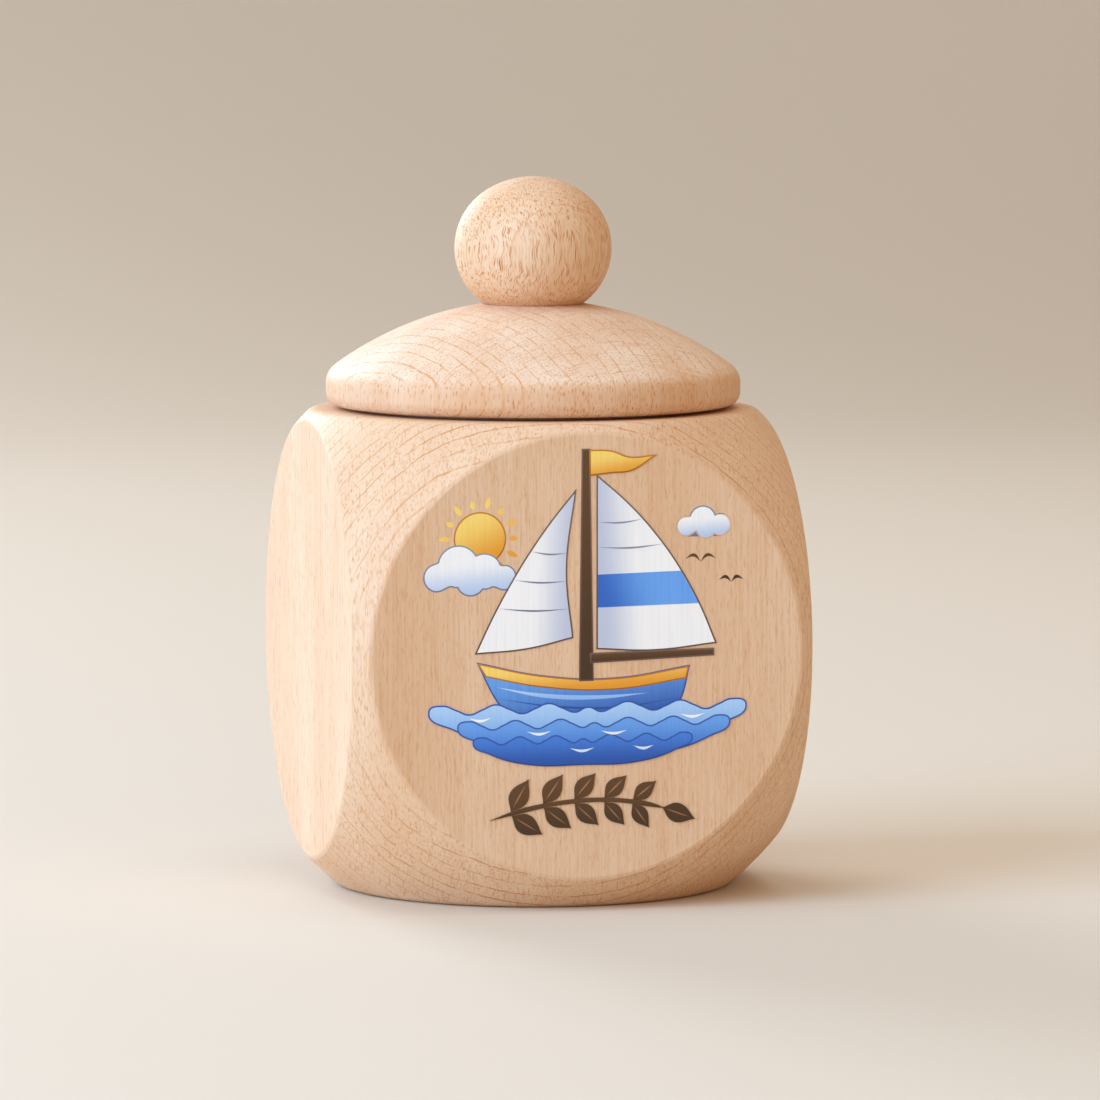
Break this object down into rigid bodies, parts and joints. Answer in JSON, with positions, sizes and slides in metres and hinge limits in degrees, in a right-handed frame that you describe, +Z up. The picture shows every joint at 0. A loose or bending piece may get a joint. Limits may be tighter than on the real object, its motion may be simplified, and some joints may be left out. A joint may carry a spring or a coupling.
{
  "type": "baby tooth box",
  "caption": "Small turned beech keepsake box for milk teeth: ball-cornered body with round side flats, a blind bore, and a lift-off domed lid with a ball knob.",
  "frame": {"origin": "middle of the flat foot, on the surface the box stands on", "axes": "+Z up along the turning axis, through bore, lid and knob; the front flat faces -Y, +X is to its viewer's right"},
  "size_m": [0.045, 0.045, 0.069],
  "materials": {
    "beech_body": "sanded bare beech",
    "beech_lid": "turned and sanded bare beech",
    "beech_knob": "turned and sanded bare beech",
    "beech_dowel": "fluted beech dowel rod"
  },
  "bodies": {
    "box": {"box_body": "beech_body"},
    "lid_with_knob": {"lid": "beech_lid", "knob": "beech_knob", "knob_dowel": "beech_dowel"}
  },
  "joints": [
    {"name": "lid_lift", "type": "slide", "parent": "box", "child": "lid_with_knob", "axis": [0, 0, 1], "range_m": [0, 0.06]}
  ]
}
